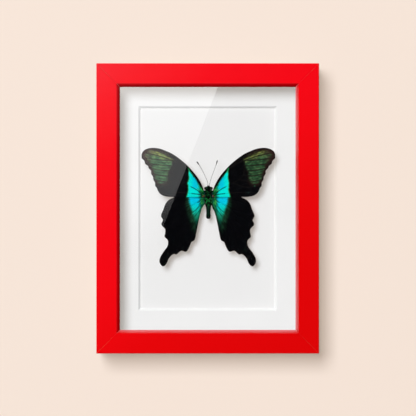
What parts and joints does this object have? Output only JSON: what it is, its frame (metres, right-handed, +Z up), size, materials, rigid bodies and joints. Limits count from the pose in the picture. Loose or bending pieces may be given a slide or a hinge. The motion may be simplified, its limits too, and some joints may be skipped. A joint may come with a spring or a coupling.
{
  "type": "framed butterfly specimen",
  "caption": "Wall-hung red lacquered box frame with glass and a bevelled white mat, holding a spread black and turquoise swallowtail on a pin.",
  "frame": {"origin": "middle of the top rail's back face, which bears on the wall", "axes": "+Z up, +Y into the wall, so the glass faces -Y; +X to the viewer's right"},
  "size_m": [0.165, 0.032, 0.215],
  "materials": {
    "red_lacquer": "red lacquered wood moulding, glossy",
    "clear_glass": "clear float glass",
    "spacer_board": "white spacer strip",
    "mat_board": "smooth white mat board with a bevel-cut window",
    "foam_board": "white paper face on foam",
    "fibreboard": "plain brown fibreboard",
    "zinc_steel": "zinc-plated pressed steel",
    "rivet_brass": "brassed rivet",
    "tab_steel": "spring steel tab",
    "body_hair": "black with green scales and hair",
    "forewing_scales": "black scales with a turquoise band and dull green outer field",
    "hindwing_scales": "black scales with a turquoise to green inner field",
    "pin_steel": "fine steel insect pin"
  },
  "bodies": {
    "root": {"rail_top": "red_lacquer", "rail_right": "red_lacquer", "rail_bottom": "red_lacquer", "rail_left": "red_lacquer", "glass": "clear_glass", "spacer_top": "spacer_board", "spacer_bottom": "spacer_board", "spacer_left": "spacer_board", "spacer_right": "spacer_board", "mat": "mat_board", "backing_board": "foam_board", "back_panel": "fibreboard", "hanger": "zinc_steel", "hanger_rivet_left": "rivet_brass", "hanger_rivet_right": "rivet_brass", "tab_1": "tab_steel", "tab_2": "tab_steel", "tab_3": "tab_steel", "tab_4": "tab_steel", "tab_5": "tab_steel", "tab_6": "tab_steel", "body": "body_hair", "forewing_left": "forewing_scales", "forewing_right": "forewing_scales", "hindwing_left": "hindwing_scales", "hindwing_right": "hindwing_scales", "pin": "pin_steel"}
  },
  "joints": []
}
